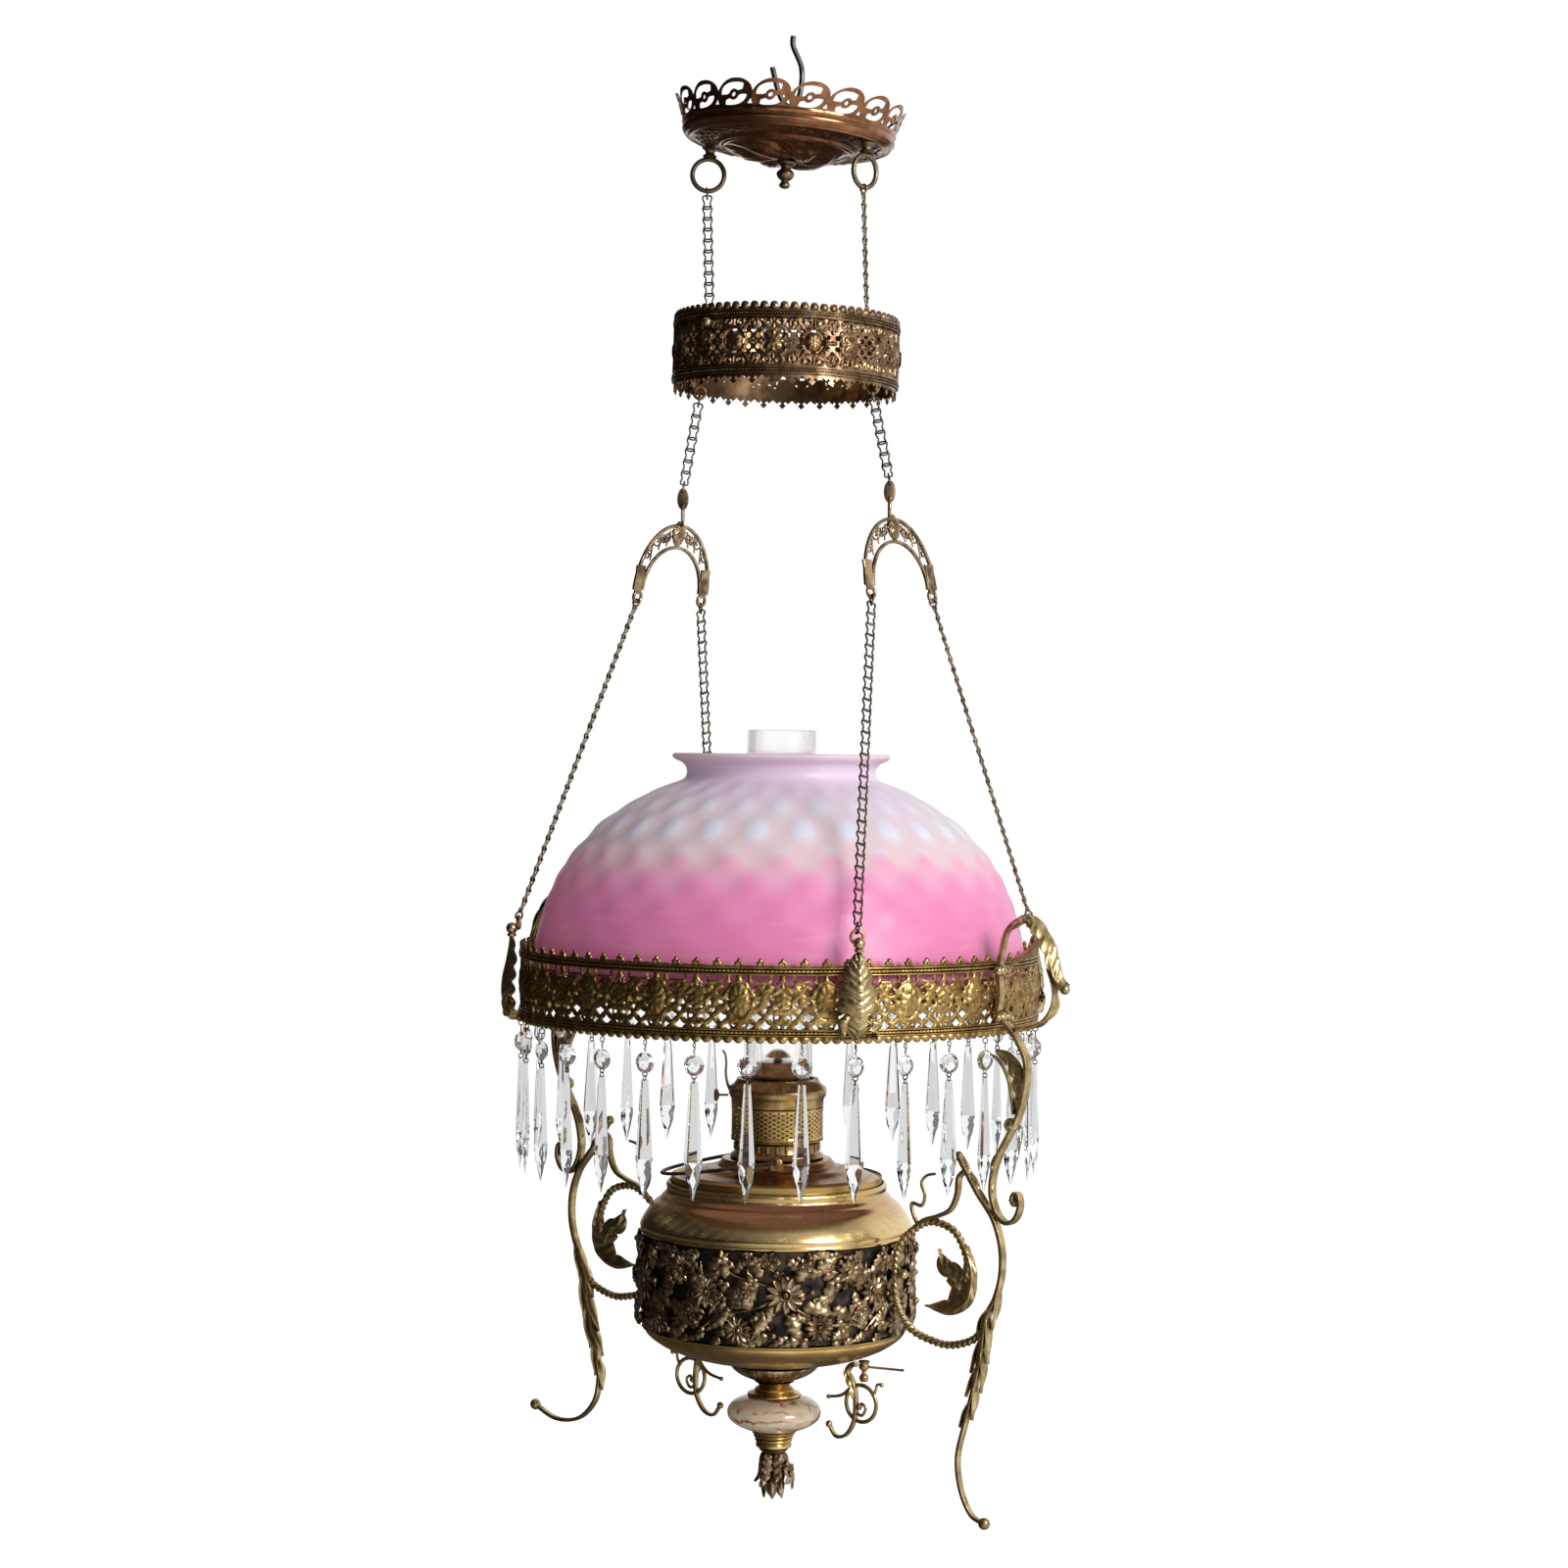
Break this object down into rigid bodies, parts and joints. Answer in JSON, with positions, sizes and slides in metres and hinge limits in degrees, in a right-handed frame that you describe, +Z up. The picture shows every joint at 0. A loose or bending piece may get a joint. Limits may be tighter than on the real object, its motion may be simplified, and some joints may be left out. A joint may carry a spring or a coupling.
{
  "type": "hanging oil lamp chandelier",
  "caption": "Hanging library oil lamp: pierced canopy, band and ring on chains, quilted glass dome shade, crystal prism fringe, scrolled arms, fount in a floral holder, clear chimney.",
  "frame": {"origin": "upper end of the ceiling hook, on the lamp's vertical axis, where the hook enters the ceiling", "axes": "+Z up, the lamp hangs down the -Z axis; the picture's viewer is on the -Y side with +X to the right"},
  "size_m": [0.4052, 0.4052, 1.0556],
  "materials": {
    "iron": "dark weathered iron",
    "coppered_brass": "coppered stamped brass with darker recesses",
    "dark_bronze": "dark bronzed brass, satin",
    "chain_metal": "dark tarnished brass wire",
    "antique_brass": "antique yellow brass, satin with dark recesses",
    "polished_brass": "polished lacquered brass",
    "cut_glass": "clear cut glass",
    "satin_glass": "translucent shaded satin glass with raised hobs",
    "clear_glass": "clear thin blown glass",
    "banded_onyx": null
  },
  "bodies": {
    "hook": {"ceiling_hook": "iron"},
    "canopy": {"canopy_hanger": "coppered_brass", "canopy_dish": "coppered_brass", "canopy_gallery": "coppered_brass", "canopy_finial": "coppered_brass", "screw_eye_right": "coppered_brass", "screw_eye_left": "coppered_brass"},
    "suspension": {"upper_chain_right": "chain_metal", "upper_chain_left": "chain_metal", "chain_band": "dark_bronze", "band_hook_right": "dark_bronze", "band_hook_left": "dark_bronze", "band_seam_bolt": "dark_bronze", "mid_chain_right": "chain_metal", "mid_chain_left": "chain_metal", "chain_tab_right": "dark_bronze", "chain_tab_left": "dark_bronze"},
    "frame": {"yoke_right": "dark_bronze", "yoke_left": "dark_bronze", "lower_chain_front": "chain_metal", "lower_chain_right": "chain_metal", "lower_chain_back": "chain_metal", "lower_chain_left": "chain_metal", "shade_ring": "antique_brass", "ring_ledge": "antique_brass", "prism_fringe": "cut_glass", "leaf_bracket_front": "antique_brass", "leaf_bracket_right": "antique_brass", "leaf_bracket_back": "antique_brass", "leaf_bracket_left": "antique_brass", "ring_hook_right": "antique_brass", "ring_hook_left": "antique_brass", "s_arm_right": "antique_brass", "s_arm_left": "antique_brass", "scroll_bracket_right": "antique_brass", "scroll_bracket_left": "antique_brass", "bracket_nut_right": "antique_brass", "bracket_nut_left": "antique_brass", "holder_shoulder": "polished_brass", "floral_band": "dark_bronze", "holder_bowl": "polished_brass", "leaf_cup": "antique_brass", "neck_collar": "polished_brass", "onyx_knop": "banded_onyx", "lower_collar": "polished_brass", "flower_drop": "dark_bronze", "tie_rod": "iron", "drop_scroll_right": "antique_brass", "drop_scroll_left": "antique_brass", "drain_valve": "antique_brass"},
    "shade": {"shade": "satin_glass"},
    "fount": {"oil_fount": "polished_brass", "burner_base": "polished_brass", "burner_gallery": "polished_brass", "burner_dome": "polished_brass", "flame_spreader": "polished_brass"},
    "chimney": {"chimney": "clear_glass"},
    "wick_knob": {"wick_knob": "antique_brass"},
    "bail": {"fount_bail": "antique_brass"}
  },
  "joints": [
    {"name": "canopy_swing", "type": "hinge", "parent": "hook", "child": "canopy", "pos_m": [0, 0, -0.051], "axis": [0, 1, 0], "range_deg": [-6, 6]},
    {"name": "chain_sway", "type": "hinge", "parent": "canopy", "child": "suspension", "pos_m": [-0.0026, 0, -0.1105], "axis": [0.8639, -0.5001, -0.0601], "range_deg": [-8, 8]},
    {"name": "ring_sway", "type": "hinge", "parent": "suspension", "child": "frame", "pos_m": [0, 0, -0.3352], "axis": [0.866, -0.5, 0], "range_deg": [-6, 6]},
    {"name": "shade_lift", "type": "slide", "parent": "frame", "child": "shade", "axis": [0, 0, 1], "range_m": [0, 0.03]},
    {"name": "fount_lift", "type": "slide", "parent": "frame", "child": "fount", "axis": [0, 0, 1], "range_m": [0, 0.04]},
    {"name": "chimney_lift", "type": "slide", "parent": "fount", "child": "chimney", "axis": [0, 0, 1], "range_m": [0, 0.1]},
    {"name": "wick_knob_turn", "type": "hinge", "parent": "fount", "child": "wick_knob", "pos_m": [-0.035, -0.00245, -0.7636], "axis": [-0.9976, -0.0698, 0], "continuous": true},
    {"name": "bail_fold", "type": "hinge", "parent": "fount", "child": "bail", "pos_m": [0, 0, -0.8063], "axis": [0, 1, 0], "range_deg": [0, 40]}
  ]
}
